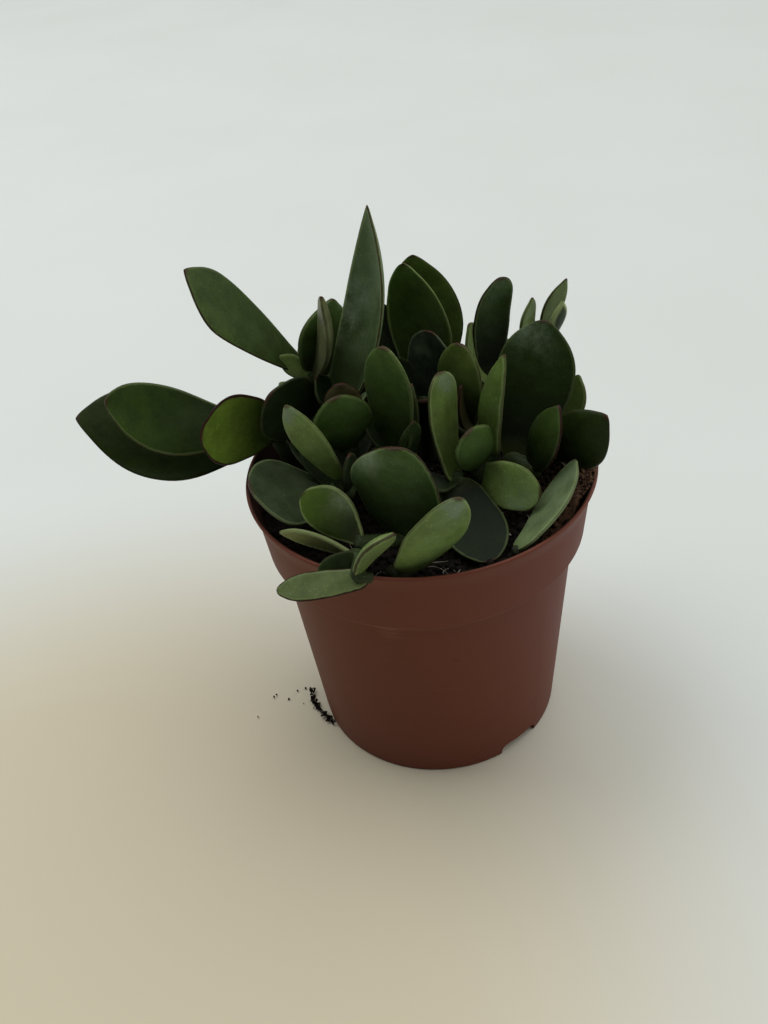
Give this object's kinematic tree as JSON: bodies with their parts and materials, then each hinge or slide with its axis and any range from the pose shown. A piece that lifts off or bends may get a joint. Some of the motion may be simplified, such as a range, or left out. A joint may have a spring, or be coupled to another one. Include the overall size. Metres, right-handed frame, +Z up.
{
  "type": "potted succulent plant",
  "caption": "Potted crassula: a clump of short shoots with thick, paddle-shaped leaves in a round tapered nursery pot with a wide collar, filled with peat.",
  "frame": {"origin": "middle of the pot's flat underside", "axes": "+Z up along the pot's axis; -Y is the side that the picture shows, +X is its right"},
  "size_m": [0.1467, 0.1195, 0.1722],
  "materials": {
    "pot": "satin, terracotta coloured",
    "soil": "rough, dark peat",
    "leaf": "waxy satin, dark green"
  },
  "bodies": {
    "root": {"pot": "pot", "soil": "soil", "shoot_left": "leaf", "shoot_upper_left": "leaf", "shoot_tall": "leaf", "shoot_back_centre": "leaf", "shoot_centre": "leaf", "shoot_centre_right": "leaf", "shoot_inner_right": "leaf", "shoot_right": "leaf", "shoot_big_leaf": "leaf", "shoot_far_right": "leaf", "shoot_back_right": "leaf", "shoot_back_inner": "leaf", "shoot_front_left": "leaf", "shoot_front": "leaf", "shoot_rim": "leaf", "shoot_back_left": "leaf", "shoot_back": "leaf", "shoot_back_far_right": "leaf", "shoot_middle": "leaf", "shoot_front_right": "leaf"}
  },
  "joints": []
}
